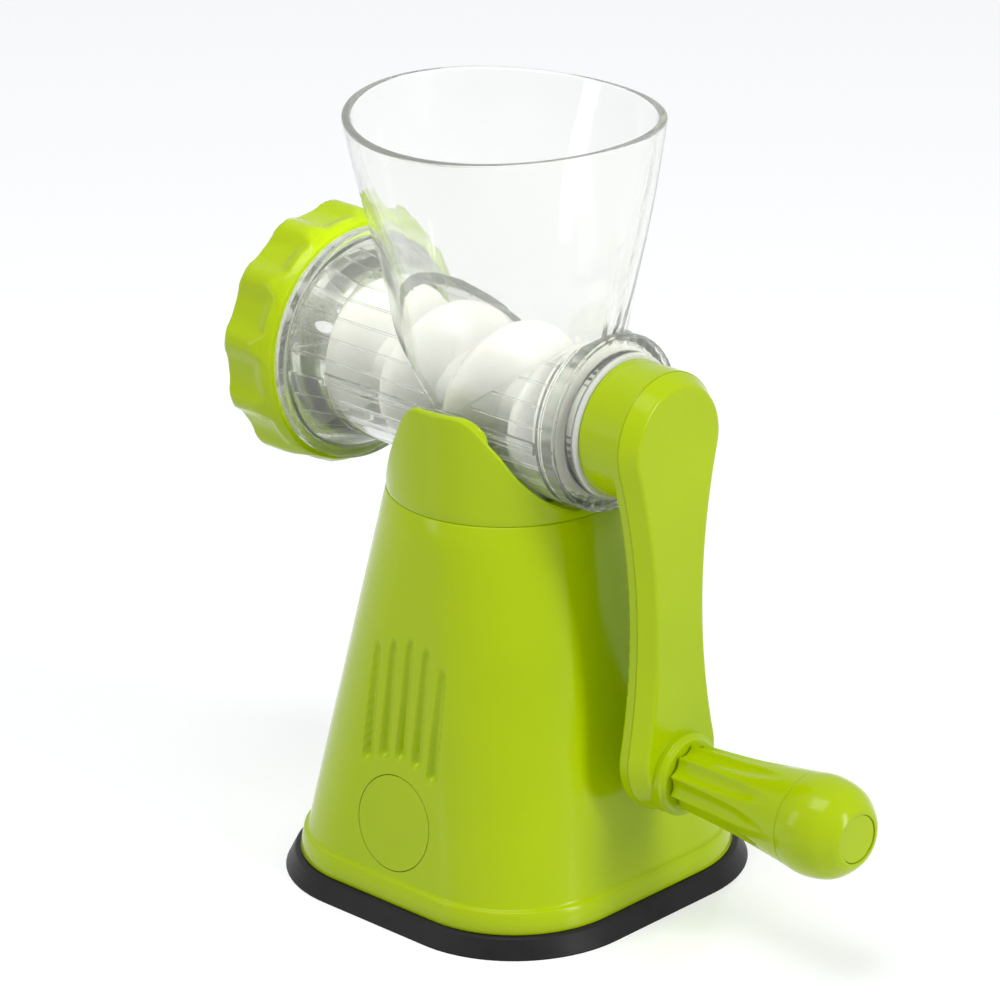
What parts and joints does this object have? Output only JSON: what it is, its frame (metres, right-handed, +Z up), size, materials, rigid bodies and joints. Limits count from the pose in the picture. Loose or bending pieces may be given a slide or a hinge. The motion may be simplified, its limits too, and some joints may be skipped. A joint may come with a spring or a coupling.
{
  "type": "hand-cranked kitchen grinder",
  "caption": "Hand-cranked kitchen grinder: clear hopper and barrel with a feed screw on a green suction foot, side crank with turning grip.",
  "frame": {"origin": "middle of the suction pad's flat underside, on the table", "axes": "+Z up; +X along the barrel towards the crank, so the outlet nut is at -X; the grooved face looks to -Y and the suction lever sits on the +Y face"},
  "size_m": [0.2474, 0.1424, 0.2715],
  "materials": {
    "lime_plastic": "glossy lime green moulded plastic",
    "clear_plastic": "clear moulded plastic, glossy",
    "white_plastic": "white moulded plastic, satin",
    "black_rubber": "black matte rubber",
    "inner_plastic": "dark grey moulded plastic",
    "steel": "machined stainless steel",
    "gasket_rubber": "off-white soft rubber"
  },
  "bodies": {
    "stand": {"suction_pad": "black_rubber", "base_plate": "inner_plastic", "base_screws": "steel", "pedestal_shell": "lime_plastic", "side_cover_disc": "lime_plastic", "saddle_collar": "lime_plastic", "collar_screws": "steel", "head_screws": "steel", "barrel_hopper": "clear_plastic", "rear_bush": "white_plastic", "thrust_washer": "white_plastic", "orifice_plate": "steel"},
    "crank": {"auger": "white_plastic", "hex_shaft": "steel", "shaft_o_ring": "black_rubber", "knife_spindle": "steel", "cutter_knife": "steel", "crank_arm": "lime_plastic", "crank_cover": "lime_plastic", "arm_screws": "steel", "grip_axle": "steel", "axle_washer": "steel"},
    "grip": {"grip_sleeve": "lime_plastic", "grip_cap": "lime_plastic", "grip_plug": "lime_plastic"},
    "nut_seal": {"nut_gasket": "gasket_rubber"},
    "outlet_nut": {"ring_nut": "lime_plastic"},
    "lever": {"suction_lever": "lime_plastic", "cam_axle": "steel", "axle_clip": "steel", "lever_screw": "steel"},
    "stem": {"suction_stem": "inner_plastic"}
  },
  "joints": [
    {"name": "crank_turn", "type": "hinge", "parent": "stand", "child": "crank", "pos_m": [0, 0, 0.1738], "axis": [1, 0, 0], "continuous": true},
    {"name": "grip_spin", "type": "hinge", "parent": "crank", "child": "grip", "pos_m": [0.105, 0, 0.0564], "axis": [1, 0, 0], "continuous": true},
    {"name": "nut_travel", "type": "slide", "parent": "stand", "child": "nut_seal", "axis": [-1, 0, 0], "range_m": [0, 0.008]},
    {"name": "nut_turn", "type": "hinge", "parent": "nut_seal", "child": "outlet_nut", "pos_m": [-0.081, 0, 0.1738], "axis": [-1, 0, 0], "range_deg": [0, 720]},
    {"name": "suction_lever_turn", "type": "hinge", "parent": "stand", "child": "lever", "pos_m": [0, 0, 0.0336], "axis": [0, 1, 0], "range_deg": [0, 90]},
    {"name": "stem_lift", "type": "slide", "parent": "stand", "child": "stem", "axis": [0, 0, 1], "range_m": [0, 0.0032]}
  ],
  "couplings": [
    {"joint": "nut_travel", "follows": "nut_turn", "m_per_rad": 0.00063662},
    {"joint": "suction_lever_turn", "follows": "stem_lift", "rad_per_m": 490.87}
  ]
}
